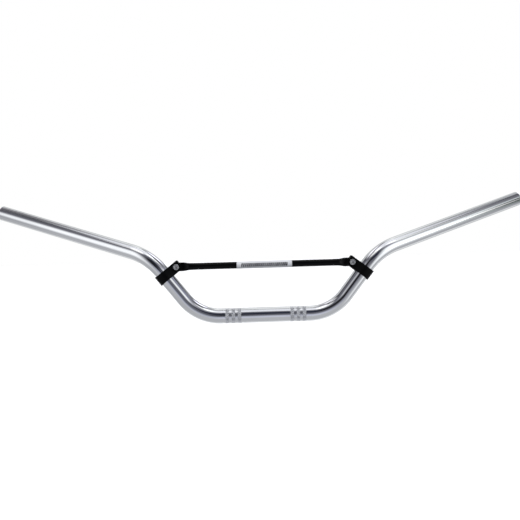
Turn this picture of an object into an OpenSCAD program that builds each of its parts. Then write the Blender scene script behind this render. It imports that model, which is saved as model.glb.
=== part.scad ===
// Braced riser handlebar: one bent tube, a bolted crossbar and its two clamps.
// Millimetres. +X runs along the bar, +Y is the side the grips sweep back to, +Z is up.
// The origin is the middle of the straight centre, on the tube's axis, where a stem holds the bar.
// The left half (-X) is the right half (+X) mirrored.

/* [Bent tube] */
// Outer diameter of the bar tube
bar_d = 22.2; // [20:0.1:26]
// Wall of the bar tube
bar_wall = 2.5; // [1.6:0.1:3.5]
// Distance from the middle to where the centre and riser axes cross
centre_half = 99; // [95:1:115]
// Riser length between the crossing points of the axes
riser_len = 115; // [110:1:140]
// Riser slope above the horizontal, in degrees
riser_angle = 52; // [45:1:55]
// Grip length from the crossing point of the axes to the tube's end
grip_len = 268.5; // [200:0.5:320]
// Upsweep of the grips, in degrees
grip_up = 16; // [8:1:20]
// Backsweep of the grips, in degrees
grip_back = 22; // [14:1:26]
// Bend radius between centre and riser, on the axis
lower_bend_r = 68; // [50:1:70]
// Bend radius between riser and grip, on the axis
upper_bend_r = 82; // [60:1:84]
// How far each surface of the wall draws in where the tube is bent
bend_draw = 0.02; // [0.01:0.01:0.1]
// Chamfer on the outer edge of the tube's cut ends
end_chamfer = 0.8; // [0.2:0.1:1.2]

/* [Knurled rings] */
// Distance from the middle to the centre of each band of rings
band_x = 48; // [44:0.5:49]
// Rings in each band
band_rings = 3; // [1:1:3]
// Distance between the centres of neighbouring rings
ring_pitch = 9; // [7:0.1:10]
// Width of one ring
ring_w = 5; // [3:0.1:6]
// Serrations around a ring
serrations = 36; // [24:1:48]
// Depth of a serration below the tube's surface
serration_depth = 0.45; // [0.2:0.05:0.6]
// Share of the surface left between serrations
serration_land = 0.3; // [0.15:0.05:0.5]

/* [Crossbar] */
// Diameter of the crossbar
cross_d = 10; // [8:0.5:12]
// Wall of the crossbar tube
cross_wall = 1.5; // [1:0.1:2]
// Height of the flattened ends
flat_h = 14; // [13:0.5:15]
// Thickness of the flattened ends
flat_t = 4; // [3:0.5:5]
// Flattened length from each bolt towards the middle
flat_len = 12; // [11:0.5:16]
// Length over which the flat swells back to round
taper_len = 16; // [10:1:25]
// Length of the printed sleeve
label_len = 82; // [40:1:110]
// Thickness of the printed sleeve
label_t = 0.2; // [0.1:0.05:0.4]

/* [Crossbar clamps] */
// Distance along the riser axis from the lower crossing point to the clamp
clamp_s = 78; // [70:0.5:78]
// Clamp length along the riser
clamp_len = 15; // [12:0.5:15]
// Wall of the clamp ring
clamp_wall = 2.2; // [2:0.1:6]
// Distance from the riser axis to the bolt axis
bolt_offset = 21.5; // [20:0.5:24]
// Thickness of each clamp ear
ear_t = 4.6; // [3.5:0.1:6]
// Ear reach beyond the bolt axis
ear_reach = 6.8; // [5.5:0.1:7]
// How far the thick spine stands past each end of the ring
spine_lip = 0.3; // [0.2:0.1:1.5]
// Radius of the ear corners
ear_corner_r = 1.2; // [0.5:0.1:2.5]

/* [Bolts and nuts] */
// Thread diameter of the clamp bolts
bolt_d = 5; // [5:1:6]
// Length of the clamp bolts under the head
bolt_len = 20; // [19:1:25]
// Diameter of the bolt head
head_d = 8.5; // [8.5:0.5:10.5]
// Height of the bolt head
head_h = 5; // [4:0.5:7]
// Width of the hexagon socket across flats
socket_af = 4; // [4:0.5:5]
// Depth of the hexagon socket
socket_depth = 2.5; // [2:0.5:4]
// Width of the nut across flats
nut_af = 8; // [8:0.5:10]
// Height of the nut
nut_h = 4; // [4:0.5:6]
// Edge chamfer on bolt heads, bolt tips and nuts
fastener_chamfer = 0.5; // [0.2:0.1:0.8]

/* [Clearances] */
// Gap between tube and clamp bore, on the radius
clamp_gap = 0.05; // [0:0.01:0.15]
// Gap between a flattened end and each ear
slot_gap = 0.05; // [0:0.01:0.2]
// Gap between bolt and bolt hole, on the radius
hole_gap = 0.2; // [0.1:0.05:0.4]
// Gap between crossbar and printed sleeve, on the radius
label_gap = 0.02; // [0:0.01:0.1]

/* [Hidden] */
$fn = 64;
FACET_FN = 32;
OVERCUT = 1;
// One piece of a fused shape reaches this far into the next
LAP = 0.2;
// How far a taper's two ends sit inside the flat and the round bar that they run into
FLAT_INSET = 0.02;
ROUND_INSET = 0.12;

bar_r = bar_d / 2;
bore_r = bar_r - bar_wall;
cross_r = cross_d / 2;

// Bending: angles between the three axes and the tangent lengths of the two bends
riser_dir = [cos(riser_angle), 0, sin(riser_angle)];
outward_dir = [sin(riser_angle), 0, -cos(riser_angle)];
grip_dir = [cos(grip_up) * cos(grip_back), cos(grip_up) * sin(grip_back), sin(grip_up)];
upper_angle = acos(riser_dir * grip_dir);
upper_roll = atan2(grip_dir.y, grip_dir * outward_dir) - 180;
lower_tangent = lower_bend_r * tan(riser_angle / 2);
upper_tangent = upper_bend_r * tan(upper_angle / 2);
centre_straight = centre_half - lower_tangent;
riser_straight = riser_len - lower_tangent - upper_tangent;
grip_straight = grip_len - upper_tangent;

// Clamp section: ring, slot and ears, then the bolt that crosses them
clamp_bore_r = bar_r + clamp_gap;
clamp_r = clamp_bore_r + clamp_wall;
slot_w = flat_t + 2 * slot_gap;
ear_y = slot_w / 2 + ear_t;
ear_end = bolt_offset + ear_reach;
flank_z = bolt_offset - head_d / 2;
bolt_hole_r = bolt_d / 2 + hole_gap;

// Where the bolts stand, on the right half
bolt_x = centre_half + clamp_s * riser_dir.x - bolt_offset * outward_dir.x;
bolt_z = clamp_s * riser_dir.z - bolt_offset * outward_dir.z;

// Point where the line from an outside point p touches a circle of radius r about the origin,
// on the side of positive y
function tangent_point(r, p) =
    let (d = norm(p), a = atan2(p.y, p.x) + acos(r / d))
    [r * cos(a), r * sin(a)];

// Outline left between serrations: a land on the surface, then a groove, all the way round
function serrated_outline(r, depth, count, land) =
    let (step = 360 / count, over = 0.2)
    [for (i = [0 : count - 1])
        for (corner = [[-land / 2, r + over], [land / 2, r + over], [0.5, r - depth]])
            let (a = step * (i + corner[0]))
            [corner[1] * cos(a), corner[1] * sin(a)]];

// Placement

// Turns the Z axis onto the tube's own axis, which is local +X
module along_x() {
    rotate([0, 90, 0]) children();
}

// Moves its children to the far end of a bend that turns from +X towards +Z
module after_bend(radius, angle) {
    translate([radius * sin(angle), 0, radius * (1 - cos(angle))])
        rotate([0, -angle, 0]) children();
}

// Moves its children to a point on the right riser's axis, with local +X up the riser
module on_riser(s) {
    translate([centre_half, 0, 0])
        rotate([0, -riser_angle, 0])
            translate([s, 0, 0]) children();
}

// Moves its children to the right bolt's axis, with local +Z along the bolt towards the front
module at_bolt() {
    translate([bolt_x, 0, bolt_z]) rotate([90, 0, 0]) children();
}

// Bent tube

// Ring of wall, with each surface drawn in by the given amount
module tube_section(draw = 0) {
    difference() {
        circle(r = bar_r - draw);
        circle(r = bore_r + draw);
    }
}

module straight_tube(length) {
    along_x() linear_extrude(length) tube_section();
}

// Bend from local +X towards +Z, whose ends reach into the walls of the straights beside it
module bent_tube(radius, angle) {
    lap_angle = LAP / radius * 180 / PI;
    translate([0, 0, radius])
        rotate([0, 90 + lap_angle, 0]) rotate([90, 0, 0])
            rotate_extrude(angle = angle + 2 * lap_angle)
                translate([radius, 0]) tube_section(bend_draw);
}

// Ring of metal to take off the outer edge of a cut end that lies at local x = 0
module end_chamfer_cut() {
    along_x()
        rotate_extrude()
            polygon([
                [bar_r - end_chamfer, OVERCUT / 10],
                [bar_r + OVERCUT, OVERCUT / 10],
                [bar_r + OVERCUT, -end_chamfer - OVERCUT],
                [bar_r, -end_chamfer],
                [bar_r - end_chamfer, 0],
            ]);
}

module grip_tube() {
    difference() {
        straight_tube(grip_straight);
        translate([grip_straight, 0, 0]) end_chamfer_cut();
    }
}

// Everything of the right half beyond the straight centre, in the order it is bent
module half_bends() {
    translate([centre_straight, 0, 0]) {
        bent_tube(lower_bend_r, riser_angle);
        after_bend(lower_bend_r, riser_angle) {
            straight_tube(riser_straight);
            translate([riser_straight, 0, 0]) rotate([upper_roll, 0, 0]) {
                bent_tube(upper_bend_r, upper_angle);
                after_bend(upper_bend_r, upper_angle) grip_tube();
            }
        }
    }
}

// Cutter that leaves one serrated ring on the centre tube
module ring_cutter() {
    translate([-ring_w / 2, 0, 0])
        along_x()
            linear_extrude(ring_w)
                difference() {
                    circle(r = bar_r + OVERCUT);
                    polygon(serrated_outline(bar_r, serration_depth, serrations, serration_land));
                }
}

module knurled_centre() {
    difference() {
        translate([-centre_straight, 0, 0]) straight_tube(2 * centre_straight);
        for (side = [-1, 1])
            for (i = [0 : band_rings - 1])
                translate([side * band_x + (i - (band_rings - 1) / 2) * ring_pitch, 0, 0])
                    ring_cutter();
    }
}

module handlebar_tube() {
    color([0.82, 0.83, 0.86])
        union() {
            knurled_centre();
            half_bends();
            mirror([1, 0, 0]) half_bends();
        }
}

// Crossbar

// Flattened right end: a tongue round the bolt that swells into the round bar
module crossbar_end() {
    root_x = bolt_x - flat_len;
    at_bolt() cylinder(h = flat_t, d = flat_h, center = true);
    translate([root_x, -flat_t / 2, bolt_z - flat_h / 2]) cube([flat_len, flat_t, flat_h]);
    hull() {
        translate([root_x, FLAT_INSET - flat_t / 2, bolt_z + FLAT_INSET - flat_h / 2])
            cube([LAP, flat_t - 2 * FLAT_INSET, flat_h - 2 * FLAT_INSET]);
        translate([root_x - taper_len - LAP, 0, bolt_z])
            along_x() cylinder(h = LAP, r = cross_r - ROUND_INSET, $fn = FACET_FN);
    }
}

module crossbar_tube() {
    round_half = bolt_x - flat_len - taper_len;
    color([0.06, 0.06, 0.07])
        difference() {
            union() {
                translate([-round_half, 0, bolt_z])
                    along_x() cylinder(h = 2 * round_half, r = cross_r);
                crossbar_end();
                mirror([1, 0, 0]) crossbar_end();
            }
            for (side = [0, 1])
                mirror([side, 0, 0])
                    at_bolt() cylinder(h = flat_h, r = bolt_hole_r, center = true);
            translate([OVERCUT - round_half, 0, bolt_z])
                along_x() cylinder(h = 2 * (round_half - OVERCUT), r = cross_r - cross_wall);
        }
}

module crossbar_label() {
    inner_r = cross_r + label_gap;
    color([0.9, 0.9, 0.91])
        translate([-label_len / 2, 0, bolt_z])
            along_x()
                difference() {
                    cylinder(h = label_len, r = inner_r + label_t);
                    translate([0, 0, -OVERCUT])
                        cylinder(h = label_len + 2 * OVERCUT, r = inner_r);
                }
}

// Clamps, seen along the riser: x of the section is the way to the bolt, y is front to back

module ear_outline() {
    flank = tangent_point(clamp_r, [flank_z, ear_y]);
    difference() {
        polygon([
            [flank.x, -flank.y], [flank_z, -ear_y], [ear_end, -ear_y],
            [ear_end, ear_y], [flank_z, ear_y], [flank.x, flank.y],
        ]);
        circle(r = clamp_bore_r);
    }
}

module clamp_outline() {
    difference() {
        union() {
            circle(r = clamp_r);
            ear_outline();
        }
        circle(r = clamp_bore_r);
        translate([0, -slot_w / 2]) square([ear_end + OVERCUT, slot_w]);
    }
}

// The thick wall on the outer side, a little longer than the rest of the ring
module spine_outline() {
    difference() {
        intersection() {
            circle(r = clamp_r);
            translate([-clamp_r - OVERCUT, -clamp_r])
                square([clamp_wall + OVERCUT, 2 * clamp_r]);
        }
        circle(r = clamp_bore_r);
    }
}

// Places a section in the plane across the riser and extrudes it evenly to both sides
module across_riser(length) {
    translate([-length / 2, 0, 0])
        rotate([90, 0, 90]) rotate([0, 0, 90])
            linear_extrude(length) mirror([0, 1]) children();
}

// Square bar with one rounded edge, to take off a corner of the ears
module ear_corner_cut(side) {
    edge_x = side * clamp_len / 2;
    translate([edge_x, 0, ear_end])
        rotate([90, 0, 0])
            difference() {
                cube([2 * ear_corner_r, 2 * ear_corner_r, 2 * clamp_r], center = true);
                translate([-side * ear_corner_r, -ear_corner_r, 0])
                    cylinder(h = 2 * clamp_r + OVERCUT, r = ear_corner_r, center = true);
            }
}

module right_clamp() {
    difference() {
        on_riser(clamp_s)
            difference() {
                union() {
                    across_riser(clamp_len) clamp_outline();
                    across_riser(clamp_len + 2 * spine_lip) spine_outline();
                }
                for (side = [-1, 1]) ear_corner_cut(side);
            }
        at_bolt() cylinder(h = 2 * ear_y + 2 * OVERCUT, r = bolt_hole_r, center = true);
    }
}

// Bolts and nuts

module hexagon(across_flats) {
    circle(d = across_flats / cos(30), $fn = 6);
}

module right_bolt() {
    at_bolt()
        difference() {
            union() {
                translate([0, 0, ear_y]) {
                    cylinder(h = head_h - fastener_chamfer, d = head_d);
                    translate([0, 0, head_h - fastener_chamfer])
                        cylinder(h = fastener_chamfer, d1 = head_d, d2 = head_d - 2 * fastener_chamfer);
                }
                translate([0, 0, ear_y - bolt_len + fastener_chamfer])
                    cylinder(h = bolt_len - fastener_chamfer, d = bolt_d);
                translate([0, 0, ear_y - bolt_len])
                    cylinder(h = fastener_chamfer, d1 = bolt_d - 2 * fastener_chamfer, d2 = bolt_d);
            }
            translate([0, 0, ear_y + head_h - socket_depth])
                linear_extrude(socket_depth + OVERCUT) hexagon(socket_af);
        }
}

module right_nut() {
    corner_r = nut_af / 2 / cos(30);
    at_bolt()
        translate([0, 0, -ear_y - nut_h])
            intersection() {
                difference() {
                    linear_extrude(nut_h) hexagon(nut_af);
                    translate([0, 0, -OVERCUT]) cylinder(h = nut_h + 2 * OVERCUT, d = bolt_d);
                }
                rotate_extrude()
                    polygon([
                        [0, 0], [corner_r - fastener_chamfer, 0], [corner_r, fastener_chamfer],
                        [corner_r, nut_h - fastener_chamfer], [corner_r - fastener_chamfer, nut_h],
                        [0, nut_h],
                    ]);
            }
}

// Nodes on the right are the modules above, and those on the left are their mirror images

module crossbar_clamp_right() {
    color([0.08, 0.08, 0.09]) right_clamp();
}

module crossbar_clamp_left() {
    color([0.08, 0.08, 0.09]) mirror([1, 0, 0]) right_clamp();
}

module clamp_bolt_right() {
    color([0.72, 0.73, 0.74]) right_bolt();
}

module clamp_bolt_left() {
    color([0.72, 0.73, 0.74]) mirror([1, 0, 0]) right_bolt();
}

module clamp_nut_right() {
    color([0.68, 0.69, 0.7]) right_nut();
}

module clamp_nut_left() {
    color([0.68, 0.69, 0.7]) mirror([1, 0, 0]) right_nut();
}

handlebar_tube();
crossbar_tube();
crossbar_label();
crossbar_clamp_left();
crossbar_clamp_right();
clamp_bolt_left();
clamp_bolt_right();
clamp_nut_left();
clamp_nut_right();
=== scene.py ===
"""Braced riser handlebar, dressed for a plain studio picture.

A polished, bent aluminium tube carries two black clamps, and a slim black crossbar with a printed
sleeve is bolted between them. The classes hold their sizes in millimetres, and the meshes are in metres.
+X runs along the bar, +Y is the side that the grips sweep back to, and +Z is up. The origin is the
middle of the straight centre, on the tube's axis.
"""

import logging
from dataclasses import dataclass, field
from enum import Enum
from math import acos, cos, pi, radians, sin, tan
from typing import Any, ClassVar

import bmesh
import bpy
import numpy as np
from mathutils import Matrix


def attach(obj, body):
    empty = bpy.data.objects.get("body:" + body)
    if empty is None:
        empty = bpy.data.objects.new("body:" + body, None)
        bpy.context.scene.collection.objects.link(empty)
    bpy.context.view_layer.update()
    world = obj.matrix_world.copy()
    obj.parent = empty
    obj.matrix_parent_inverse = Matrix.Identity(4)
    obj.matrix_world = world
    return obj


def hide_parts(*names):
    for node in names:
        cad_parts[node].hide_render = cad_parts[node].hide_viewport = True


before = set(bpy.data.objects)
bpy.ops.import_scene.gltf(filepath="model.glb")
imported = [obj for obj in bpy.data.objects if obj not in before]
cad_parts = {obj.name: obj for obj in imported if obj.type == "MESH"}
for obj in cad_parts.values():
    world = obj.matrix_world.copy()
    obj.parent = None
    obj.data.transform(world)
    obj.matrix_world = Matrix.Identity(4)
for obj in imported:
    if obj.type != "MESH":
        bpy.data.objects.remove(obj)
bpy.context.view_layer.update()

log = logging.getLogger("handlebar")

MM = 0.001
TURN = 2.0 * pi

Triple = tuple[float, float, float]
Colour = tuple[float, float, float, float]
Socket = bpy.types.NodeSocket


class Side(Enum):
    """A half of the bar as the front is seen, valued by the sign of its X."""

    LEFT = -1
    RIGHT = 1

    @property
    def label(self) -> str:
        """The word used in piece names."""
        return self.name.lower()


class Slot(Enum):
    """Names of the record's material slots; the new pieces make their own finishes and do not read them."""

    POLISHED_ALUMINIUM = "polished_aluminium"
    BLACK_ENAMEL = "black_enamel"
    PRINTED_FILM = "printed_film"
    BLACK_CLAMP = "black_clamp"
    ZINC_STEEL = "zinc_steel"


# Surfaces worked out on a grid


def smoothstep(low: float, high: float, x: np.ndarray) -> np.ndarray:
    """Ease from 0 at low to 1 at high: 3 t squared less 2 t cubed.

    Args:
        low: Where the ease starts.
        high: Where it ends.
        x: The values to ease.

    Returns:
        The eased values, in the shape of x.
    """
    t = np.clip((x - low) / (high - low), 0.0, 1.0)
    return t * t * (3.0 - 2.0 * t)


def turned(vectors: np.ndarray, axis: np.ndarray, angles: np.ndarray) -> np.ndarray:
    """Turn each vector about one unit axis by its own angle.

    Formula: v cos a + (k x v) sin a + k (k . v)(1 - cos a), for the axis k.

    Args:
        vectors: Vectors, one a row.
        axis: Unit axis.
        angles: One angle for each row, in radians.

    Returns:
        The turned vectors, one a row.
    """
    c = np.cos(angles)[:, None]
    s = np.sin(angles)[:, None]
    along = (vectors @ axis)[:, None] * axis
    return vectors * c + np.cross(axis, vectors) * s + along * (1.0 - c)


def circle(count: int) -> np.ndarray:
    """Evenly spaced angles once round, as one row."""
    return np.linspace(0.0, TURN, count, endpoint=False)[None, :]


def spun(radii: Any, angles: np.ndarray, heights: np.ndarray) -> np.ndarray:
    """Points (r cos a, r sin a, h), with one row for each height and one column for each angle."""
    across = radii * np.cos(angles), radii * np.sin(angles)
    return np.stack(np.broadcast_arrays(*across, heights), axis=-1)


def hex_stretch(angles: np.ndarray) -> np.ndarray:
    """A hexagon's radius over half its flats: 1 over the cosine of the angle to the nearest flat."""
    return 1.0 / np.cos((angles + pi / 6.0) % (pi / 3.0) - pi / 6.0)


@dataclass
class GridSurface:
    """A closed surface on a grid of points: rows run along the piece, columns run round it.

    Columns always join up. Rows join up when loop is set, as in a tube with a wall, and otherwise
    each end is closed by a fan to the middle of its row.
    """

    points: np.ndarray
    loop: bool = False
    values: dict[str, np.ndarray] = field(default_factory=dict)

    def quads(self) -> np.ndarray:
        """Corner numbers of the four-sided faces: point (i, j) is number i * columns + j."""
        rows, columns = self.points.shape[:2]
        i = np.arange(rows if self.loop else rows - 1)[:, None] * columns
        j = np.arange(columns)[None, :]
        next_i = (i + columns) % (rows * columns)
        next_j = (j + 1) % columns
        return np.stack((i + j, i + next_j, next_i + next_j, next_i + j), axis=-1).reshape(-1, 4)

    def fans(self) -> np.ndarray:
        """Corner numbers of the end triangles, whose middle points come after the grid's own points."""
        rows, columns = self.points.shape[:2]
        if self.loop:
            return np.zeros((0, 3), int)
        j = np.arange(columns)
        next_j = (j + 1) % columns
        first = np.full(columns, rows * columns)
        last = (rows - 1) * columns
        start = np.stack((first, next_j, j), axis=-1)
        end = np.stack((first + 1, last + j, last + next_j), axis=-1)
        return np.concatenate((start, end))

    def spread(self, values: np.ndarray) -> np.ndarray:
        """One value for each vertex, where the two end middles come last and take their row's mean."""
        shape = self.points.shape[:2] + values.shape[2:]
        full = np.broadcast_to(values, shape)
        flat = full.reshape(-1, *shape[2:])
        if self.loop:
            return flat
        return np.concatenate((flat, full[0].mean(0)[None], full[-1].mean(0)[None]))

    def volume(self, vertices: np.ndarray, faces: list[np.ndarray]) -> float:
        """Signed volume: a sixth of the sum of a . (b x c) over the faces' triangles."""
        total = 0.0
        for kind in faces:
            for k in range(1, kind.shape[1] - 1):
                a, b, c = (vertices[kind[:, n]] for n in (0, k, k + 1))
                total += float(np.einsum("ij,ij->i", a, np.cross(b, c)).sum()) / 6.0
        return total

    def to_object(self, name: str, sharp_angle: float = 32.0) -> bpy.types.Object:
        """Make the Blender object, in metres, with its faces outwards and smooth apart from real edges.

        Args:
            name: The piece's name.
            sharp_angle: Edges between faces that meet at more than this many degrees stay sharp.

        Returns:
            The new object, at the origin.
        """
        vertices = self.spread(self.points) * MM
        faces = [self.quads(), self.fans()]
        if self.volume(vertices, faces) < 0.0:
            faces = [kind[:, ::-1] for kind in faces]
        mesh = bpy.data.meshes.new(name)
        mesh.from_pydata(vertices.tolist(), [], faces[0].tolist() + faces[1].tolist())
        for key, values in self.values.items():
            spread = self.spread(values)
            kind, part = ("FLOAT_VECTOR", "vector") if spread.ndim == 2 else ("FLOAT", "value")
            layer = mesh.attributes.new(key, kind, "POINT")
            layer.data.foreach_set(part, spread.astype(np.float32).ravel())
        finish_shading(mesh, sharp_angle)
        return linked(name, mesh)


def linked(name: str, data: bpy.types.ID) -> bpy.types.Object:
    """Put a new object with the given data in the scene, at the origin."""
    made = bpy.data.objects.new(name, data)
    bpy.context.scene.collection.objects.link(made)
    return made


def finish_shading(mesh: bpy.types.Mesh, sharp_angle: float) -> None:
    """Shade a mesh smooth, apart from edges sharper than sharp_angle degrees."""
    mesh.polygons.foreach_set("use_smooth", np.ones(len(mesh.polygons), bool))
    mesh.set_sharp_from_angle(angle=radians(sharp_angle))
    mesh.update()


def baked(made: bpy.types.Object) -> bpy.types.Object:
    """Replace an object's mesh by what its modifiers make of it, and drop them."""
    bpy.context.view_layer.update()
    depsgraph = bpy.context.evaluated_depsgraph_get()
    mesh = bpy.data.meshes.new_from_object(made.evaluated_get(depsgraph))
    made.modifiers.clear()
    made.data = mesh
    return made


def seat(made: bpy.types.Object, node: str, material: bpy.types.Material) -> bpy.types.Object:
    """Dress a finished piece, hang it on the body and let it stand for its CAD node.

    Args:
        made: The finished piece.
        node: The CAD node that it replaces.
        material: The piece's finish.

    Returns:
        The same piece.
    """
    made.data.materials.clear()
    made.data.materials.append(material)
    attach(made, "root")
    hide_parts(node)
    log.info("%s: %d faces, %s", made.name, len(made.data.polygons), material.name)
    return made


# Nodes and finishes


class NodeGraph:
    """A short way to write nodes, whose inputs take plain values and other nodes' sockets alike."""

    def __init__(self, tree: bpy.types.NodeTree) -> None:
        """Empty a node tree and write to it."""
        self.nodes = tree.nodes
        self.links = tree.links
        self.nodes.clear()

    def put(self, socket: Socket, value: Any) -> None:
        """Give an input socket a link when value is a socket, a plain value, or nothing for None."""
        if isinstance(value, Socket):
            self.links.new(value, socket)
        elif value is not None:
            socket.default_value = value

    def add(self, kind: str, inputs: Any = (), **settings: Any) -> bpy.types.Node:
        """Add a node.

        Args:
            kind: Its type, without the words that all shader nodes start with.
            inputs: Values for its inputs, in order or by name.
            settings: Its other properties.

        Returns:
            The new node.
        """
        node = self.nodes.new(f"ShaderNode{kind}")
        for name, value in settings.items():
            setattr(node, name, value)
        pairs = inputs.items() if isinstance(inputs, dict) else enumerate(inputs)
        for key, value in pairs:
            self.put(node.inputs[key], value)
        return node

    def math(self, operation: str, *values: Any, clamp: bool = False) -> Socket:
        """One step of arithmetic."""
        return self.add("Math", values, operation=operation, use_clamp=clamp).outputs["Value"]

    def times(self, a: Any, b: Any, plus: Any = 0.0, clamp: bool = False) -> Socket:
        """The product of two values, plus a third."""
        return self.math("MULTIPLY_ADD", a, b, plus, clamp=clamp)

    def ease(self, value: Any, low: float, high: float, start: float = 0.0, stop: float = 1.0) -> Socket:
        """Ease from start, where the value is low or less, to stop, where it is high or more."""
        inputs = (value, low, high, start, stop)
        return self.add("MapRange", inputs, interpolation_type="SMOOTHSTEP").outputs["Result"]


class Graph(NodeGraph):
    """A material's nodes."""

    def __init__(self, name: str) -> None:
        """Start a material with a Principled shader wired to its output."""
        self.material = bpy.data.materials.new(name)
        self.material.use_nodes = True
        super().__init__(self.material.node_tree)
        self.shader = self.add("BsdfPrincipled")
        self.add("OutputMaterial", {"Surface": self.shader.outputs["BSDF"]})

    def attribute(self, name: str, output: str = "Fac") -> Socket:
        """Read a number stored on the mesh's points, or a triple when output is Vector."""
        return self.add("Attribute", attribute_name=name).outputs[output]

    def place(self) -> Socket:
        """Object coordinates, in metres, which are the row's own because pieces sit at the origin."""
        return self.add("TexCoord").outputs["Object"]

    def noise(self, vector: Any, cells: float | Triple, detail: float = 3.0, rough: float = 0.55) -> Socket:
        """Soft noise from 0 to 1.

        Args:
            vector: Where to read it.
            cells: Cells for each unit of the vector, the same all ways or one number for each axis.
            detail: Octaves.
            rough: Share of each finer octave.

        Returns:
            The noise value.
        """
        if isinstance(cells, tuple):
            vector = self.add("Mapping", {"Vector": vector, "Scale": cells}).outputs["Vector"]
            cells = 1.0
        inputs = {"Vector": vector, "Scale": cells, "Detail": detail, "Roughness": rough}
        return self.add("TexNoise", inputs).outputs["Fac"]

    def within(self, value: Any, reach: float, soft: float) -> Socket:
        """1 where a value lies within reach of 0 on either side, and 0 beyond, with a soft edge."""
        return self.ease(self.math("ABSOLUTE", value), reach - soft, reach + soft, 1.0, 0.0)

    def blend(self, share: Any, a: Any, b: Any) -> Socket:
        """Mix two colours: a where share is 0, b where it is 1."""
        node = self.add("Mix", data_type="RGBA")
        sockets = [s for s in node.inputs if s.enabled]
        for socket, value in zip(sockets, (share, a, b)):
            self.put(socket, value)
        return next(s for s in node.outputs if s.enabled)

    def bump(self, height: Any, distance: float, strength: float = 1.0, after: Any = None) -> Socket:
        """Turn a height from 0 to 1 into a normal.

        Args:
            height: The height.
            distance: What a height of 1 stands for, in metres.
            strength: How much of it shows.
            after: A normal that this one adds to.

        Returns:
            The normal.
        """
        inputs = {"Strength": strength, "Distance": distance, "Height": height, "Normal": after}
        return self.add("Bump", inputs).outputs["Normal"]

    def finish(
        self,
        colour: Any,
        roughness: Any,
        normal: Socket | None = None,
        metallic: float = 0.0,
        specular: float = 0.5,
    ) -> bpy.types.Material:
        """Set the shader's inputs.

        Args:
            colour: Base colour.
            roughness: Roughness.
            normal: The bumped normal, if there is one.
            metallic: 1 for bare metal.
            specular: Strength of the reflection in the coat, 0.5 for most plastics and paints.

        Returns:
            The finished material.
        """
        inputs = {"Base Color": colour, "Roughness": roughness, "Normal": normal, "Metallic": metallic}
        inputs["Specular IOR Level"] = specular
        for name, value in inputs.items():
            self.put(self.shader.inputs[name], value)
        return self.material


def grey(value: float, blue: float = 0.0) -> Colour:
    """A grey that leans towards blue by the given share."""
    return (value * (1.0 - blue), value * (1.0 - 0.6 * blue), value, 1.0)


@dataclass(frozen=True)
class PolishedAluminium:
    """Buffed aluminium tube, nearly a mirror: fine drawn lines, hazier rings, painted shade in grooves and
    bore.
    """

    bright: Colour = grey(0.88, 0.015)
    cloud: Colour = grey(0.83, 0.015)
    # Painted shade: a darker grey for the bottoms of the serrations' grooves.
    groove: Colour = grey(0.72, 0.03)
    # Painted shade: a dark grey for the inside of the tube.
    bore: Colour = grey(0.34, 0.02)
    groove_share: float = 0.85
    roughness: float = 0.08
    ring_roughness: float = 0.42
    band_haze: float = 0.2
    bore_roughness: float = 0.45
    cloud_cells: Triple = (18.0, 90.0, 90.0)
    line_cells: Triple = (30.0, 2600.0, 2600.0)
    speck_cells: float = 1900.0
    speck_share: float = 4.0
    line_height: float = 0.000002

    def material(self) -> bpy.types.Material:
        """Colour clouds and haze on the tube's own place, fine lines along it, and painted shade in grooves
        and bore.
        """
        graph = Graph("polished_aluminium_tube")
        place = graph.attribute("tube_place", "Vector")
        knurl = graph.attribute("knurl")
        inside = graph.attribute("inside")
        cloud = graph.noise(place, self.cloud_cells)
        lines = graph.noise(place, self.line_cells, 4.0, 0.7)
        specks = graph.noise(place, self.speck_cells, 2.0, 0.6)
        skin = graph.blend(graph.ease(cloud, 0.35, 0.7), self.bright, self.cloud)
        # Painted shade: the skin darkens towards the groove colour with the serrations' depth.
        ringed = graph.blend(graph.times(graph.attribute("groove"), self.groove_share), skin, self.groove)
        haze = graph.times(lines, 0.05, self.roughness - 0.02)
        haze = graph.times(cloud, 0.04, haze)
        haze = graph.times(graph.attribute("band"), self.band_haze, haze)
        haze = graph.times(knurl, self.ring_roughness - self.roughness - self.band_haze, haze)
        haze = graph.times(inside, self.bore_roughness - self.roughness, haze)
        height = graph.times(specks, graph.times(knurl, self.speck_share), lines)
        normal = graph.bump(height, self.line_height)
        # Painted shade: the inside of the tube takes the dark bore colour, and it is also rougher.
        return graph.finish(graph.blend(inside, ringed, self.bore), haze, normal, metallic=1.0)


@dataclass(frozen=True)
class BlackEnamel:
    """Gloss black enamel over tube: a faint ripple, and fine dust in patches."""

    black: Colour = grey(0.0015, 0.1)
    dusty: Colour = grey(0.006, 0.05)
    roughness: float = 0.24
    specular: float = 0.11
    ripple: float = 0.00002
    ripple_cells: float = 420.0
    dust_cells: float = 2200.0
    patch_cells: Triple = (30.0, 120.0, 120.0)

    def material(self) -> bpy.types.Material:
        """A slow ripple under the gloss, and dust that dulls it in patches."""
        graph = Graph("black_enamel_gloss")
        place = graph.place()
        dust = graph.noise(place, self.dust_cells, 4.0, 0.7)
        patch = graph.noise(place, self.patch_cells)
        share = graph.times(graph.ease(dust, 0.55, 0.8), graph.ease(patch, 0.4, 0.7, 0.1, 1.0))
        haze = graph.times(patch, 0.16, graph.times(share, 0.2, self.roughness - 0.08))
        normal = graph.bump(graph.noise(place, self.ripple_cells, 2.0), self.ripple, 0.5)
        colour = graph.blend(share, self.black, self.dusty)
        return graph.finish(colour, haze, normal, specular=self.specular)


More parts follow.
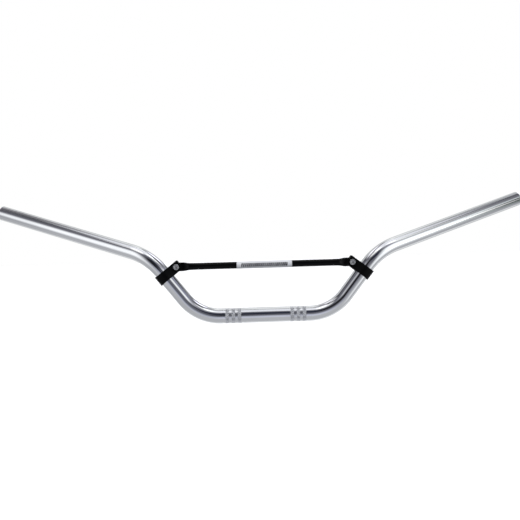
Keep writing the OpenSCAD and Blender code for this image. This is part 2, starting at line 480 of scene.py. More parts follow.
@dataclass(frozen=True)
class ClampCoat:
    """Satin black coat on a cast clamp: fine grain, and small rubbed flecks."""

    black: Colour = grey(0.0015, 0.1)
    worn: Colour = grey(0.008, 0.05)
    roughness: float = 0.42
    specular: float = 0.08
    grain: float = 0.00003
    grain_cells: float = 2600.0
    cast_cells: float = 700.0
    fleck_cells: float = 900.0

    def material(self) -> bpy.types.Material:
        """Fine grain on a coarser cast skin, under a satin coat rubbed in small flecks."""
        graph = Graph("satin_black_clamp")
        place = graph.place()
        cast = graph.noise(place, self.cast_cells, 2.0)
        flecks = graph.ease(graph.noise(place, self.fleck_cells, 5.0, 0.75), 0.6, 0.75)
        fine = graph.bump(graph.noise(place, self.grain_cells, 3.0, 0.6), self.grain, 0.6)
        normal = graph.bump(cast, self.grain * 2.0, 0.4, fine)
        colour = graph.blend(graph.times(flecks, 0.6), self.black, self.worn)
        haze = graph.times(cast, 0.18, self.roughness - 0.09)
        return graph.finish(colour, haze, normal, specular=self.specular)


@dataclass(frozen=True)
class PrintedFilm:
    """White gloss film with a row of plain slanted printers' marks, and painted shade that greys it towards
    its ends.
    """

    white: Colour = (0.54, 0.55, 0.57, 1.0)
    # Grey for random mottle, and painted shade towards the sleeve's ends.
    shaded: Colour = (0.43, 0.435, 0.45, 1.0)
    ink: Colour = (0.03, 0.03, 0.034, 1.0)
    mark_pitch: float = 2.9
    mark_half_height: float = 2.9
    half_width: float = 0.34
    uneven_width: float = 0.1
    slant: float = 0.35
    marks_half_length: float = 34.3
    mottle_cells: float = 900.0
    ink_height: float = 0.00001

    def marks(self, graph: Graph, along: Any, across: Any) -> Socket:
        """Share of ink: slanted bars of uneven width, in a band of the given height and length.

        A bar's width is picked by the broken part of a sine of its number, which is as good as random.

        Args:
            graph: The material's graph.
            along: Millimetres along the sleeve from its middle.
            across: Millimetres round the sleeve from its front.

        Returns:
            The share of ink, from 0 to 1.
        """
        cell = graph.math("DIVIDE", graph.times(across, -self.slant, along), self.mark_pitch)
        wave = graph.math("SINE", graph.times(graph.math("FLOOR", cell), 7.31))
        uneven = graph.math("FRACT", graph.times(wave, 9.7))
        width = graph.times(uneven, self.uneven_width, self.half_width)
        from_middle = graph.math("ABSOLUTE", graph.math("SUBTRACT", graph.math("FRACT", cell), 0.5))
        bars = graph.ease(graph.math("SUBTRACT", from_middle, width), -0.04, 0.04, 1.0, 0.0)
        high = graph.within(across, self.mark_half_height, 0.15)
        long = graph.within(along, self.marks_half_length, 0.2)
        return graph.times(bars, graph.times(high, long))

    def material(self) -> bpy.types.Material:
        """Ink over film, with grey mottle and a painted shade towards the sleeve's ends."""
        graph = Graph("printed_film_gloss")
        along, across, _ = graph.add("SeparateXYZ", (graph.attribute("film_place", "Vector"),)).outputs
        mottle = graph.noise(graph.place(), self.mottle_cells)
        # Painted shade: the paper greys over the last millimetre and a half at each end.
        ends = graph.ease(graph.math("ABSOLUTE", along), 39.5, 41.0, 0.0, 0.8)
        paper = graph.blend(graph.times(mottle, 0.2, ends, clamp=True), self.white, self.shaded)
        ink = graph.times(self.marks(graph, along, across), graph.ease(mottle, 0.2, 0.45, 0.85, 1.0))
        normal = graph.bump(graph.times(ink, 0.5, mottle), self.ink_height, 0.6)
        return graph.finish(graph.blend(ink, paper, self.ink), graph.times(mottle, 0.12, 0.2), normal)


@dataclass(frozen=True)
class ZincSteel:
    """Bright zinc plating on steel fasteners, with turning marks, and hollows that are rougher and darkened
    by painted shade.
    """

    bright: Colour = (0.56, 0.565, 0.57, 1.0)
    dull: Colour = (0.4, 0.4, 0.395, 1.0)
    # Painted shade: a dark grey for the socket, the thread's roots and the nut's bore.
    recess_shade: Colour = (0.16, 0.16, 0.16, 1.0)
    roughness: float = 0.32
    cloud_cells: float = 600.0
    ring_cells: Triple = (6000.0, 6000.0, 20.0)
    ring_height: float = 0.000004

    def material(self) -> bpy.types.Material:
        """Plating that clouds in patches, with rings of turning marks round the fastener's axis."""
        graph = Graph("zinc_plated_steel")
        recess_shade = graph.attribute("recess_shade")
        cloud = graph.noise(graph.place(), self.cloud_cells)
        rings = graph.noise(graph.attribute("turned_place", "Vector"), self.ring_cells, 2.0)
        plating = graph.blend(graph.ease(cloud, 0.4, 0.65), self.bright, self.dull)
        haze = graph.times(cloud, 0.2, graph.times(recess_shade, 0.2, self.roughness - 0.08))
        normal = graph.bump(rings, self.ring_height, 0.6)
        # Painted shade: the plating darkens to the dark grey where the hollows are marked.
        return graph.finish(graph.blend(recess_shade, plating, self.recess_shade), haze, normal, metallic=1.0)


# Bent tube


@dataclass(frozen=True)
class BendPlan:
    """The bar's line as a bender makes it: centre, bend, riser, rolled bend and grip."""

    centre_half: float = 99.0
    riser_len: float = 115.0
    riser_angle: float = 52.0
    grip_len: float = 268.5
    grip_up: float = 16.0
    grip_back: float = 22.0
    lower_bend_r: float = 68.0
    upper_bend_r: float = 82.0

    @property
    def riser_dir(self) -> np.ndarray:
        """Unit vector up the right riser."""
        angle = radians(self.riser_angle)
        return np.array([cos(angle), 0.0, sin(angle)])

    @property
    def grip_dir(self) -> np.ndarray:
        """Unit vector out along the right grip."""
        up, back = radians(self.grip_up), radians(self.grip_back)
        return np.array([cos(up) * cos(back), cos(up) * sin(back), sin(up)])

    @property
    def upper_angle(self) -> float:
        """Angle of the upper bend, in radians."""
        return acos(float(self.riser_dir @ self.grip_dir))

    @property
    def marks(self) -> tuple[float, float, float, float, float]:
        """Lengths along the axis at which the lower bend, riser, upper bend and grip start, and the end."""
        lower = self.lower_bend_r * tan(radians(self.riser_angle) / 2.0)
        upper = self.upper_bend_r * tan(self.upper_angle / 2.0)
        first = self.centre_half - lower
        second = first + self.lower_bend_r * radians(self.riser_angle)
        third = second + self.riser_len - lower - upper
        fourth = third + self.upper_bend_r * self.upper_angle
        return first, second, third, fourth, fourth + self.grip_len - upper

    def line(self, s: np.ndarray) -> tuple[np.ndarray, np.ndarray, np.ndarray]:
        """Axis points and the two directions across the tube, at lengths s from the middle.

        The right half is the sum of five parts, each of which stops growing where the next one starts:
        a straight, an arc r (sin a, 1 - cos a), the riser, a second arc in the plane of riser and
        grip, and the grip. The directions across turn with the axis and never twist about it. The
        left half is the right half with its X negated.

        Args:
            s: Lengths along the axis, negative on the left.

        Returns:
            The axis points, the upward directions and the backward directions, one a row.
        """
        first, second, third, fourth, _ = self.marks
        length = np.abs(s)
        run = length[:, None]
        zero = np.zeros_like(length)
        a1 = np.clip((length - first) / self.lower_bend_r, 0.0, radians(self.riser_angle))
        a2 = np.clip((length - third) / self.upper_bend_r, 0.0, self.upper_angle)
        axis = np.cross(self.riser_dir, self.grip_dir)
        axis = axis / np.linalg.norm(axis)
        inward = np.cross(axis, self.riser_dir)
        centre = np.minimum(run, first) * np.array([1.0, 0.0, 0.0])
        lower_arc = self.lower_bend_r * np.stack((np.sin(a1), zero, 1.0 - np.cos(a1)), axis=-1)
        riser = np.clip(run - second, 0.0, third - second) * self.riser_dir
        upper_arc = np.sin(a2)[:, None] * self.riser_dir + (1.0 - np.cos(a2))[:, None] * inward
        grip = np.maximum(run - fourth, 0.0) * self.grip_dir
        points = centre + lower_arc + riser + self.upper_bend_r * upper_arc + grip
        up = turned(np.stack((-np.sin(a1), zero, np.cos(a1)), axis=-1), axis, a2)
        back = turned(np.tile([0.0, 1.0, 0.0], (len(a2), 1)), axis, a2)
        mirror = np.stack((np.where(s < 0.0, -1.0, 1.0), zero + 1.0, zero + 1.0), axis=-1)
        return points * mirror, up * mirror, back * mirror

    def on_riser(self, s: float) -> np.ndarray:
        """Point on the right riser's axis, s from where the centre and riser axes cross."""
        return np.array([self.centre_half, 0.0, 0.0]) + s * self.riser_dir


@dataclass(frozen=True)
class BentTube:
    """The polished tube with its two bands of serrated rings and its open, chamfered ends.

    Steps counts the rings of points on the lower bend, the riser, the upper bend and the grip.
    """

    plan: BendPlan = BendPlan()
    finish: PolishedAluminium = PolishedAluminium()
    bar_d: float = 22.2
    bar_wall: float = 2.5
    end_chamfer: float = 0.8
    end_land: float = 0.05
    bore_chamfer: float = 0.3
    last_step: float = 0.4
    steps: tuple[int, int, int, int] = (31, 5, 27, 13)
    band_x: float = 48.0
    band_rings: int = 3
    ring_pitch: float = 9.0
    ring_w: float = 5.0
    ring_edge: float = 0.12
    band_fade: float = 1.6
    serrations: int = 36
    serration_depth: float = 0.45
    serration_land: float = 0.3
    sharp_angle: float = 24.0

    @property
    def band_reach(self) -> float:
        """From a band's middle to the outer edge of its last ring."""
        return (self.band_rings - 1) / 2.0 * self.ring_pitch + self.ring_w / 2.0

    def ring_centres(self) -> np.ndarray:
        """Where the serrated rings stand along the axis."""
        offsets = (np.arange(self.band_rings) - (self.band_rings - 1) / 2.0) * self.ring_pitch
        return np.concatenate((-self.band_x + offsets, self.band_x + offsets))

    def stations(self) -> np.ndarray:
        """Lengths at which a ring of points is put: close in the bends and at the edges of the rings.

        The last straight stops a little before the end's chamfer, where one more ring follows, so
        that the chamfer's shading does not spread along the grip.

        Returns:
            The lengths, in order.
        """
        half = self.ring_w / 2.0
        edges = np.array([-half, -half + self.ring_edge, 0.0, half - self.ring_edge, half])
        rings = (self.ring_centres()[:, None] + edges).ravel()
        fades = self.band_reach + self.band_fade * np.array([0.5, 1.0])
        outside = self.band_x + np.concatenate((-fades, fades))
        chamfer = self.plan.marks[-1] - self.end_chamfer
        marks = (*self.plan.marks[:-1], chamfer - self.last_step)
        runs = [np.linspace(*ends) for ends in zip(marks, marks[1:], self.steps)]
        right = np.concatenate((*runs, [chamfer]))
        return np.unique(np.round(np.concatenate((-right, -outside, rings, outside, right)), 6))

    def angles(self) -> np.ndarray:
        """Angles round the tube: two edges and the middle of each land, and the middle of each groove."""
        corners = np.array([-self.serration_land / 2.0, 0.0, self.serration_land / 2.0, 0.5])
        return ((np.arange(self.serrations)[:, None] + corners) * TURN / self.serrations).ravel()

    def cut(self, s: np.ndarray, angles: np.ndarray) -> tuple[np.ndarray, np.ndarray]:
        """How deep the serrations are, as a share of their full depth, and where the rings lie.

        Along the tube the share rises from 0 to 1 over each ring's edge. Round the tube it is 0 on
        the lands and rises straight to 1 at the middle of each groove.

        Args:
            s: Lengths along the axis.
            angles: Angles round the tube.

        Returns:
            The share of the depth and the share of ring, each for every station and angle.
        """
        apart = np.abs(s[:, None] - self.ring_centres()[None, :]).min(axis=1)
        ring = np.clip((self.ring_w / 2.0 - apart) / self.ring_edge, 0.0, 1.0)[:, None]
        turn = angles * self.serrations / TURN
        off_land = np.abs((turn + 0.5) % 1.0 - 0.5) - self.serration_land / 2.0
        vee = np.clip(off_land / (0.5 - self.serration_land / 2.0), 0.0, 1.0)[None, :]
        return ring * vee, ring * np.ones_like(vee)

    def banded(self, s: np.ndarray) -> np.ndarray:
        """Share of each band's haze: 1 from its first ring to its last, and gone just outside it."""
        apart = np.abs(np.abs(s) - self.band_x)
        return smoothstep(self.band_reach + self.band_fade, self.band_reach, apart)

    def surface(self) -> GridSurface:
        """Carry the section along the line: out on the skin, round the end, back in the bore, round the end.

        Each point is axis + r (cos a up + sin a back). On the skin r is the tube's radius less the
        serration, at the ends it follows the chamfer, and in the bore it is the inner radius.

        Returns:
            The tube's closed surface, with its place, rings, grooves and bore as values.
        """
        radius = self.bar_d / 2.0
        bore = radius - self.bar_wall
        end = self.plan.marks[-1]
        skin = self.stations()
        angles = self.angles()
        chamfer = self.end_chamfer * np.array([0.0, 0.12, 0.45, 1.0])
        lip = bore + self.bore_chamfer
        face_r = [radius - chamfer[-1] - self.end_land, lip, bore]
        mouth_s = np.concatenate((end - chamfer[-2::-1], [end, end, end - self.bore_chamfer]))
        mouth_r = np.concatenate((radius - chamfer[1:], face_r))
        s = np.concatenate((skin, mouth_s, skin[::-1], -mouth_s[::-1]))
        rest = np.concatenate((mouth_r, np.full(len(skin), bore), mouth_r[::-1]))
        share, ring = self.cut(skin, angles)
        blank = np.zeros((len(rest), len(angles)))
        radii = np.concatenate((radius - self.serration_depth * share, rest[:, None] + blank))
        inside = np.concatenate((np.zeros(len(skin)), smoothstep(lip + 0.01, lip - 0.01, rest)))
        local = spun(radii, angles, s[:, None])
        points, up, back = self.plan.line(s)
        points = points[:, None] + local[..., :1] * up[:, None] + local[..., 1:2] * back[:, None]
        values = {
            "tube_place": np.roll(local, 1, axis=-1) * MM,
            "groove": np.concatenate((share, blank)),
            "knurl": np.concatenate((ring, blank)),
            "band": self.banded(s)[:, None],
            "inside": inside[:, None],
        }
        return GridSurface(points, loop=True, values=values)

    def build(self) -> bpy.types.Object:
        """Make the tube and put it in the place of its CAD node."""
        made = self.surface().to_object("bent_tube", self.sharp_angle)
        return seat(made, "handlebar_tube", self.finish.material())


# Crossbar


@dataclass(frozen=True)
class Crossbar:
    """The slim tube between the risers, crushed flat and drilled at both ends."""

    plan: BendPlan = BendPlan()
    finish: BlackEnamel = BlackEnamel()
    clamp_s: float = 78.0
    bolt_offset: float = 21.5
    cross_d: float = 10.0
    flat_h: float = 13.0
    flat_t: float = 4.0
    flat_len: float = 9.5
    taper_len: float = 10.5
    tail_len: float = 26.0
    tail_share: float = 0.2
    tip_round: float = 0.6
    dip: float = 0.12
    hole_r: float = 2.7
    drill_half: float = 5.0
    columns: int = 72
    hole_columns: int = 48
    sharp_angle: float = 35.0

    @property
    def bolt(self) -> tuple[float, float]:
        """X and Z of the right bolt's axis."""
        angle = radians(self.plan.riser_angle)
        foot = self.plan.on_riser(self.clamp_s)
        return foot[0] - self.bolt_offset * sin(angle), foot[2] + self.bolt_offset * cos(angle)

    def surface(self) -> GridSurface:
        """Loft the section from one rounded tongue to the other.

        A section is |z / a| to the power p plus |y / b| to the power p equals 1. The half height a
        and half thickness b ease from the round bar to the flat, and p from 2 to 5. The ease is the
        sum of a short one and a small share of a long one, as crushed tube has. Past the bolt, a
        follows the tongue's round end, the root of r squared less the distance squared. Where the
        bar is crushed, its broad faces dip by up to an eighth.

        Returns:
            The crossbar's closed surface, without its holes.
        """
        bolt_x, bolt_z = self.bolt
        bar_r = self.cross_d / 2.0
        flat_r = self.flat_h / 2.0
        root = bolt_x - self.flat_len
        tip = bolt_x + flat_r
        arc = bolt_x + flat_r * np.sin(np.linspace(0.0, 0.498 * pi, 22))
        swell = np.linspace(root - self.tail_len, root, 41)
        right = np.concatenate((swell, np.linspace(root, bolt_x, 6), arc))
        x = np.unique(np.round(np.concatenate((-right, np.linspace(-90.0, 90.0, 9), right)), 6))[:, None]
        out = np.abs(x)
        ease = (1.0 - self.tail_share) * smoothstep(root - self.taper_len, root, out)
        ease = ease + self.tail_share * smoothstep(root - self.tail_len, root, out)
        round_end = np.sqrt(np.maximum(flat_r**2 - np.maximum(out - bolt_x, 0.0) ** 2, 0.0))
        half_h = np.where(out > bolt_x, round_end, bar_r + (flat_r - bar_r) * ease)
        thinned = np.sqrt(np.clip((tip - out) / self.tip_round, 0.16, 1.0))
        half_t = bar_r - (bar_r - self.flat_t / 2.0) * ease
        half_t = half_t * np.where(out > tip - self.tip_round, thinned, 1.0)
        power = 2.0 / (2.0 + 3.0 * ease)
        sine, cosine = np.sin(circle(self.columns)), np.cos(circle(self.columns))
        z = half_h * np.sign(sine) * np.abs(sine) ** power
        y = half_t * np.sign(cosine) * np.abs(cosine) ** power
        dip = self.dip * np.sin(pi * np.clip(ease, 0.0, 1.0)) * (1.0 - (z / half_h.clip(1e-3)) ** 2)
        return GridSurface(np.stack(np.broadcast_arrays(x, y * (1.0 - dip), bolt_z + z), axis=-1))

    def drill(self, made: bpy.types.Object) -> bpy.types.Object:
        """Cut the two bolt holes through the tongues, along Y."""
        bolt_x, bolt_z = self.bolt
        ends = self.drill_half * np.array([[-1.0], [1.0]])
        local = spun(self.hole_r, circle(self.hole_columns), ends)
        for side in Side:
            points = local[..., [0, 2, 1]] + np.array([side.value * bolt_x, 0.0, bolt_z])
            cutter = GridSurface(points).to_object("cutter")
            modifier = made.modifiers.new("drill", "BOOLEAN")
            modifier.object = cutter
            modifier.solver = "EXACT"
            baked(made)
            bpy.data.objects.remove(cutter)
        return made

    def build(self) -> bpy.types.Object:
        """Make the crossbar and put it in the place of its CAD node."""
        made = self.drill(self.surface().to_object("crossbar_bar"))
        finish_shading(made.data, self.sharp_angle)
        return seat(made, "crossbar_tube", self.finish.material())


@dataclass(frozen=True)
class PrintedSleeve:
    """The white film wrapped round the middle of the crossbar, with its overlap at the back."""

    centre_z: float
    finish: PrintedFilm = PrintedFilm()
    inner_r: float = 5.02
    thickness: float = 0.2
    length: float = 82.0
    edge: float = 0.06
    lap_angle: float = 0.35
    lap_half: float = 0.3
    lap_fade: float = 0.05

    def surface(self) -> GridSurface:
        """Carry a ring section along X: out on the skin, in at the edge, back on the inner side.

        The radius is constant but for a rounded edge at each end and, on the skin, a step of a third
        of the thickness where the film overlaps at the back.

        Returns:
            The sleeve's closed surface, with the place on the film as a value.
        """
        half = self.length / 2.0
        outer = self.inner_r + self.thickness
        edge = outer - self.edge
        right = half - np.array([0.0, self.edge, 1.0])
        x = np.concatenate((-right, [0.0], right[::-1], [half, -half]))[:, None]
        r = np.array([edge] + [outer] * 5 + [edge, self.inner_r, self.inner_r])[:, None]
        angle = np.linspace(-pi, pi, 96, endpoint=False)[None, :]
        off_lap = np.abs(angle + pi - self.lap_angle) - self.lap_half
        step = (1.0 - smoothstep(self.lap_fade, 0.0, off_lap)) * self.thickness / 6.0
        radii = r - (r > self.inner_r) * step
        front, up, along = (spun(radii, angle, x)[..., k] for k in range(3))
        points = np.stack((along, -front, self.centre_z + up), axis=-1)
        film = np.stack(np.broadcast_arrays(x, outer * angle, 0.0), axis=-1)
        return GridSurface(points, loop=True, values={"film_place": film})

    def build(self) -> bpy.types.Object:
        """Make the sleeve and put it in the place of its CAD node."""
        made = self.surface().to_object("printed_sleeve")
        return seat(made, "crossbar_label", self.finish.material())


# Fasteners


@dataclass(frozen=True)
class BoltPlace:
    """Where a fastener stands: its axis lies along Y, and local +Z of the fastener faces the front."""

    x: float
    z: float
    side: Side

    def placed(self, local: np.ndarray) -> np.ndarray:
        """Local points in the row's frame: (x, y, z) goes to (side (X + x), -z, Z + y)."""
        x, y, z = (local[..., k] for k in range(3))
        return np.stack((self.side.value * (self.x + x), -z, self.z + y), axis=-1)


@dataclass(frozen=True)
class Fastener:
    """A plated part turned about its own axis, which seats on the face of a clamp's ear."""

    finish: bpy.types.Material
    seat_z: float = 6.65
    columns: int = 192
    piece: ClassVar[str]
    node: ClassVar[str]

    def surface(self, place: BoltPlace) -> GridSurface:
        """The part's closed surface where it stands."""
        raise NotImplementedError

    def build(self, place: BoltPlace) -> bpy.types.Object:
        """Make the part for one side and put it in the place of its CAD node."""
        made = self.surface(place).to_object(f"{self.piece}_{place.side.label}")
        return seat(made, f"{self.node}_{place.side.label}", self.finish)


@dataclass(frozen=True)
class CapScrew(Fastener):
    """An M5 socket-head screw: milled head, hexagon socket and a real thread."""

    piece = "cap_screw"
    node = "clamp_bolt"
    bolt_d: float = 5.0
    bolt_len: float = 20.0
    thread_len: float = 16.0
    thread_pitch: float = 0.8
    thread_depth: float = 0.5
    head_d: float = 8.5
    head_h: float = 5.0
    socket_af: float = 4.0
    socket_depth: float = 2.5
    socket_shade: float = 0.25
    flutes: int = 48
    flute_depth: float = 0.22

    def profile(self) -> tuple[np.ndarray, ...]:
        """Radius, height and the shares of thread, milling and hexagon, from the tip to the socket's floor.

        Returns:
            The five of them, each as one column of rows.
        """
        tip = self.seat_z - self.bolt_len
        r = self.bolt_d / 2.0
        head = self.head_d / 2.0
        base = self.seat_z
        top = base + self.head_h
        socket = self.socket_af / 2.0
        floor = top - self.socket_depth
        run_out = tip + self.thread_len
        threads = np.linspace(tip + 0.5, run_out, 137)
        rows = [(r - 0.9, tip, 0, 0, 0), (r - 0.5, tip + 0.12, 0, 0, 0)]
        rows += [(r, z, min(1.0, (run_out - z) / 1.5), 0, 0) for z in threads]
        rows += [(r, base - 0.4, 0, 0, 0), (r + 0.35, base, 0, 0, 0)]
        rows += [(head - 0.45, base, 0, 0, 0), (head, base + 0.45, 0, 0, 0)]
        rows += [(head, base + 0.9, 0, 1, 0), (head, top - 1.25, 0, 1, 0)]
        rows += [(head, top - 0.85, 0, 0, 0), (head - 0.08, top - 0.4, 0, 0, 0)]
        rows += [(head - 0.26, top - 0.15, 0, 0, 0), (head - 0.6, top, 0, 0, 0)]
        rows += [(socket + 0.75, top, 0, 0, 0), (socket + 0.12, top - 0.35, 0, 0, 0.7)]
        rows += [(socket, top - 0.42, 0, 0, 1), (socket, floor, 0, 0, 1)]
        rows += [(socket * 0.6, floor - 0.1, 0, 0, 0.3), (0.2, floor - 0.5, 0, 0, 0)]
        return tuple(np.array(column, float)[:, None] for column in zip(*rows))

    def surface(self, place: BoltPlace) -> GridSurface:
        """Turn the profile round the axis, with three shapes that vary round it.

        The thread takes off a triangle wave of height less turn, so that it climbs one pitch a turn.
        The milling takes off a small wave of the angle. In the socket the radius is the hexagon's,
        half its flats over the cosine of the angle to the nearest flat.

        Args:
            place: Where the screw stands.

        Returns:
            The screw's closed surface.
        """
        radius, height, thread, milled, hexed = self.profile()
        angle = circle(self.columns)
        wave = np.abs(((height / self.thread_pitch - angle / TURN) % 1.0) * 2.0 - 1.0)
        flute = 0.5 - 0.5 * np.cos(self.flutes * angle)
        radii = radius - thread * self.thread_depth * wave - milled * self.flute_depth * flute
        local = spun(radii * (1.0 + hexed * (hex_stretch(angle) - 1.0)), angle, height)
        top = self.seat_z + self.head_h
        # Painted shade for the hexagon socket and, on the next lines, the socket's floor and the thread's
        # roots.
        deep = self.socket_shade * smoothstep(top - 0.5, top - 1.4, height) * (hexed > 0.0)
        deep[-2:] = self.socket_shade
        root = thread * smoothstep(0.5, 1.0, wave) * 0.8
        values = {"turned_place": local * MM, "recess_shade": np.maximum(deep, root)}
        return GridSurface(place.placed(local), values=values)


@dataclass(frozen=True)
class HexNut(Fastener):
    """An M5 hexagon nut with chamfered corners and a countersunk bore."""

    piece = "hex_nut"
    node = "clamp_nut"
    nut_af: float = 8.0
    nut_h: float = 4.0
    bore_d: float = 5.0
    bore_gap: float = 0.02
    countersink_r: float = 0.45
    countersink_h: float = 0.4
    chamfer: float = 0.5

    def surface(self, place: BoltPlace) -> GridSurface:
        """Turn a closed loop round the axis, whose outer side is the smaller of a hexagon and a cone.

        The hexagon's radius is half its flats over the cosine of the angle to the nearest flat. The
        cone rises from just outside the flats' own circle to the corners over the chamfer's height.

        Args:
            place: Where the nut stands.

        Returns:
            The nut's closed surface.
        """
        low = -self.seat_z - self.nut_h
        high = -self.seat_z
        steps = self.chamfer * np.linspace(0.0, 1.0, 7)
        outer_z = np.concatenate((low + steps, [low + self.nut_h / 2.0], high - steps[::-1]))[:, None]
        from_face = np.minimum(outer_z - low, high - outer_z)
        corner = self.nut_af / 2.0 / cos(pi / 6.0)
        cone = corner - self.chamfer + np.minimum(from_face, self.chamfer)
        angle = circle(self.columns)
        outer = np.minimum(cone, self.nut_af / 2.0 * hex_stretch(angle))
        sink, gap = self.countersink_r, self.bore_gap
        inner_r = self.bore_d / 2.0 + np.array([sink, gap, gap, sink])
        inner_z = np.array([high, high - self.countersink_h, low + self.countersink_h, low])
        radii = np.concatenate((outer, np.repeat(inner_r[:, None], self.columns, axis=1)))
        local = spun(radii, angle, np.concatenate((outer_z, inner_z[:, None])))
        # Painted shade in the nut's bore, strongest in its middle.
        recess_shade = np.concatenate((np.zeros(len(outer_z)), [0.2, 1.0, 1.0, 0.2]))[:, None]
        values = {"turned_place": local * MM, "recess_shade": recess_shade}
        return GridSurface(place.placed(local), loop=True, values=values)


# Clamps


@dataclass(frozen=True)
class CastClamp:
    """A split clamp round a riser, with the edges of its casting rounded over."""

    finish: bpy.types.Material
    edge_radius: float = 0.4
    merge: float = 0.002
    flat_angle: float = 0.5
    round_angle: float = 35.0
    sharp_angle: float = 40.0

    def build(self, side: Side) -> bpy.types.Object:
        """Round the edges of a merged copy of the CAD clamp, and put the copy in its place.

        Args:
            side: Which clamp.

        Returns:
            The finished clamp.
        """
        node = f"crossbar_clamp_{side.label}"
        shape = bmesh.new()
        shape.from_mesh(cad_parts[node].data)
        bmesh.ops.remove_doubles(shape, verts=shape.verts, dist=self.merge * MM)
        flat = radians(self.flat_angle)
        bmesh.ops.dissolve_limit(shape, angle_limit=flat, verts=shape.verts, edges=shape.edges)
        mesh = bpy.data.meshes.new(f"cast_clamp_{side.label}")
        shape.to_mesh(mesh)
        shape.free()
        made = linked(mesh.name, mesh)
        rounding = made.modifiers.new("rounded_edges", "BEVEL")
        rounding.width = self.edge_radius * MM
        rounding.segments = 3
        rounding.limit_method = "ANGLE"
        rounding.angle_limit = radians(self.round_angle)
        rounding.harden_normals = False
        baked(made)
        finish_shading(made.data, self.sharp_angle)
        return seat(made, node, self.finish)


# Studio


def toward(azimuth: float, elevation: float) -> Triple:
    """Unit vector from the object. Azimuth 0 is the front, where the camera stands, and 90 the right."""
    a, e = radians(azimuth), radians(elevation)
    return (sin(a) * cos(e), -cos(a) * cos(e), sin(e))


class SkyGraph(NodeGraph):
    """The world's nodes, which light the scene from all round."""

    def __init__(self) -> None:
        """Start an empty world and read the direction in which it is seen."""
        world = bpy.data.worlds.new("studio")
        bpy.context.scene.world = world
        world.use_nodes = True
        super().__init__(world.node_tree)
        self.ray = self.add("TexCoord").outputs["Generated"]

    def dot(self, direction: Any) -> Socket:
        """Cosine between the direction seen and another, times the other's length."""
        inputs = (self.ray, tuple(direction))
        return self.add("VectorMath", inputs, operation="DOT_PRODUCT").outputs["Value"]

    def colour(self, operation: str, *values: Any) -> Socket:
        """One step of arithmetic on colours."""
        return self.add("VectorMath", values, operation=operation).outputs["Vector"]

    def finish(self, colour: Socket) -> None:
        """Light the scene with the colour, and show the camera itself plain white surroundings."""
        around = self.add("Background", {"Color": colour}).outputs[0]
        white = self.add("Background", {"Color": (1.0, 1.0, 1.0, 1.0)}).outputs[0]
        seen = self.add("LightPath").outputs["Is Camera Ray"]
        mix = self.add("MixShader", (seen, around, white)).outputs[0]
        self.add("OutputWorld", {"Surface": mix})


@dataclass(frozen=True)
class SoftGlow:
    """A broad round glow, even out to the inner angle and gone at the outer one, in degrees."""

    azimuth: float
    elevation: float
    inner: float
    outer: float
    strength: Triple

    def share(self, sky: SkyGraph) -> Socket:
        """Ease of the cosine between the direction seen and the glow's middle."""
        near = sky.dot(toward(self.azimuth, self.elevation))
        return sky.ease(near, cos(radians(self.outer)), cos(radians(self.inner)))


@dataclass(frozen=True)
class OvalPanel:
    """A soft oval box of light, or with a negative strength a dark flag, turned about its own middle.

    Half width and half height are sines of the angles from its middle to its half-bright edge.
    """

    azimuth: float
    elevation: float
    roll: float
    half_width: float
    half_height: float
    softness: float
    strength: Triple

    def share(self, sky: SkyGraph) -> Socket:
        """Ease of the oval distance, the root of (u / width) squared plus (v / height) squared.

        Here u and v are the parts of the direction along the panel's two sides. Directions that
        face away from the panel's middle are pushed far outside it.

        Args:
            sky: The graph to write to.

        Returns:
            The panel's share of its strength in the direction seen.
        """
        middle = np.array(toward(self.azimuth, self.elevation))
        level = np.array(toward(self.azimuth + 90.0, 0.0))
        above = np.cross(middle, level)
        above = above if above[2] > 0.0 else -above
        c, s = cos(radians(self.roll)), sin(radians(self.roll))
        u = sky.dot((level * c + above * s) / self.half_width)
        v = sky.dot((above * c - level * s) / self.half_height)
        oval = sky.math("SQRT", sky.times(u, u, sky.times(v, v)))
        behind = sky.math("MAXIMUM", sky.dot(-10.0 * middle), 0.0)
        distance = sky.math("ADD", oval, behind)
        return sky.ease(distance, 1.0 - self.softness, 1.0 + self.softness, 1.0, 0.0)


